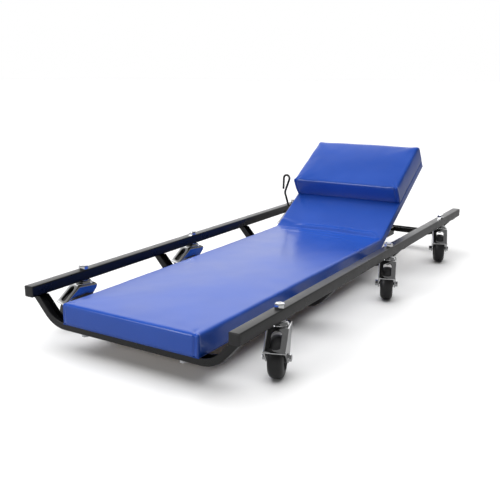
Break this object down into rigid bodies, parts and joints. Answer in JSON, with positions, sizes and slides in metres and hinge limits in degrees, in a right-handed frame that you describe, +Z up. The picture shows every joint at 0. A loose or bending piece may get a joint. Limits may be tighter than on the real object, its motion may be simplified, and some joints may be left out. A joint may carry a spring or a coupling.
{
  "type": "mechanic's creeper",
  "caption": "Low padded board on wheels for working under a vehicle: steel side rails, swivel casters and a hinged, pillowed headrest held up by a wire prop.",
  "frame": {"origin": "on the floor, under the middle of the frame", "axes": "+X to the right seen from the foot end, +Y from the foot end to the head end, +Z up"},
  "size_m": [0.4492, 1.016, 0.2675],
  "materials": {
    "frame_paint": "gloss black powder coat",
    "wire_paint": "satin black paint on bent wire",
    "plug_plastic": "satin black moulded plastic",
    "board_wood": "bare plywood",
    "vinyl": "blue upholstery vinyl with a fine grain and a soft sheen, over foam",
    "zinc": "bright zinc plate",
    "chrome": "bright nickel-chrome plate",
    "wheel_plastic": "dark moulded hub",
    "tyre": "smooth black hard rubber"
  },
  "bodies": {
    "frame": {"side_rail_left": "frame_paint", "side_rail_right": "frame_paint", "cross_channel_foot": "frame_paint", "cross_channel_hip": "frame_paint", "cross_channel_shoulder": "frame_paint", "cross_channel_head": "frame_paint", "rail_end_plugs": "plug_plastic", "frame_welds": "frame_paint", "prop_racks": "frame_paint", "main_board": "board_wood", "main_cushion": "vinyl", "board_bolts": "zinc", "board_washers": "zinc", "board_tee_nuts": "zinc", "hinge_leaves_fixed": "zinc", "hinge_screws_fixed": "zinc", "caster_bolts": "chrome", "caster_spacers": "zinc", "caster_cups": "chrome", "caster_balls": "zinc", "caster_lock_nuts": "zinc"},
    "headrest": {"head_board": "board_wood", "head_cushion": "vinyl", "pillow": "vinyl", "hinge_leaves_moving": "zinc", "hinge_pins": "zinc", "hinge_screws_moving": "zinc", "prop_clips": "zinc", "clip_screws": "zinc"},
    "prop": {"prop_wire": "wire_paint"},
    "caster_foot_left": {"fork_foot_left": "chrome", "axle_foot_left": "chrome"},
    "caster_foot_right": {"fork_foot_right": "chrome", "axle_foot_right": "chrome"},
    "caster_mid_left": {"fork_mid_left": "chrome", "axle_mid_left": "chrome"},
    "caster_mid_right": {"fork_mid_right": "chrome", "axle_mid_right": "chrome"},
    "caster_head_left": {"fork_head_left": "chrome", "axle_head_left": "chrome"},
    "caster_head_right": {"fork_head_right": "chrome", "axle_head_right": "chrome"},
    "wheel_foot_left": {"wheel_core_foot_left": "wheel_plastic", "tyre_foot_left": "tyre"},
    "wheel_foot_right": {"wheel_core_foot_right": "wheel_plastic", "tyre_foot_right": "tyre"},
    "wheel_mid_left": {"wheel_core_mid_left": "wheel_plastic", "tyre_mid_left": "tyre"},
    "wheel_mid_right": {"wheel_core_mid_right": "wheel_plastic", "tyre_mid_right": "tyre"},
    "wheel_head_left": {"wheel_core_head_left": "wheel_plastic", "tyre_head_left": "tyre"},
    "wheel_head_right": {"wheel_core_head_right": "wheel_plastic", "tyre_head_right": "tyre"}
  },
  "joints": [
    {"name": "headrest_hinge", "type": "hinge", "parent": "frame", "child": "headrest", "pos_m": [0, 0.15, 0.046], "axis": [1, 0, 0], "range_deg": [-30.8, 14]},
    {"name": "prop_pivot", "type": "hinge", "parent": "headrest", "child": "prop", "pos_m": [0, 0.26281, 0.11261], "axis": [1, 0, 0], "range_deg": [-29.5, 64.8]},
    {"name": "swivel_foot_left", "type": "hinge", "parent": "frame", "child": "caster_foot_left", "pos_m": [-0.194, -0.387, 0.07], "axis": [0, 0, 1], "continuous": true},
    {"name": "swivel_foot_right", "type": "hinge", "parent": "frame", "child": "caster_foot_right", "pos_m": [0.194, -0.387, 0.07], "axis": [0, 0, 1], "continuous": true},
    {"name": "swivel_mid_left", "type": "hinge", "parent": "frame", "child": "caster_mid_left", "pos_m": [-0.194, -0.072, 0.07], "axis": [0, 0, 1], "continuous": true},
    {"name": "swivel_mid_right", "type": "hinge", "parent": "frame", "child": "caster_mid_right", "pos_m": [0.194, 0.043, 0.07], "axis": [0, 0, 1], "continuous": true},
    {"name": "swivel_head_left", "type": "hinge", "parent": "frame", "child": "caster_head_left", "pos_m": [-0.194, 0.377, 0.07], "axis": [0, 0, 1], "continuous": true},
    {"name": "swivel_head_right", "type": "hinge", "parent": "frame", "child": "caster_head_right", "pos_m": [0.194, 0.377, 0.07], "axis": [0, 0, 1], "continuous": true},
    {"name": "spin_foot_left", "type": "hinge", "parent": "caster_foot_left", "child": "wheel_foot_left", "pos_m": [-0.19879, -0.40016, 0.03175], "axis": [0.9397, -0.342, 0], "continuous": true},
    {"name": "spin_foot_right", "type": "hinge", "parent": "caster_foot_right", "child": "wheel_foot_right", "pos_m": [0.19879, -0.40016, 0.03175], "axis": [0.9397, 0.342, 0], "continuous": true},
    {"name": "spin_mid_left", "type": "hinge", "parent": "caster_mid_left", "child": "wheel_mid_left", "pos_m": [-0.19879, -0.08516, 0.03175], "axis": [0.9397, -0.342, 0], "continuous": true},
    {"name": "spin_mid_right", "type": "hinge", "parent": "caster_mid_right", "child": "wheel_mid_right", "pos_m": [0.19879, 0.02984, 0.03175], "axis": [0.9397, 0.342, 0], "continuous": true},
    {"name": "spin_head_left", "type": "hinge", "parent": "caster_head_left", "child": "wheel_head_left", "pos_m": [-0.19879, 0.36384, 0.03175], "axis": [0.9397, -0.342, 0], "continuous": true},
    {"name": "spin_head_right", "type": "hinge", "parent": "caster_head_right", "child": "wheel_head_right", "pos_m": [0.19879, 0.36384, 0.03175], "axis": [0.9397, 0.342, 0], "continuous": true}
  ],
  "couplings": [
    {"joint": "prop_pivot", "follows": "headrest_hinge", "ratio": -2.1}
  ]
}
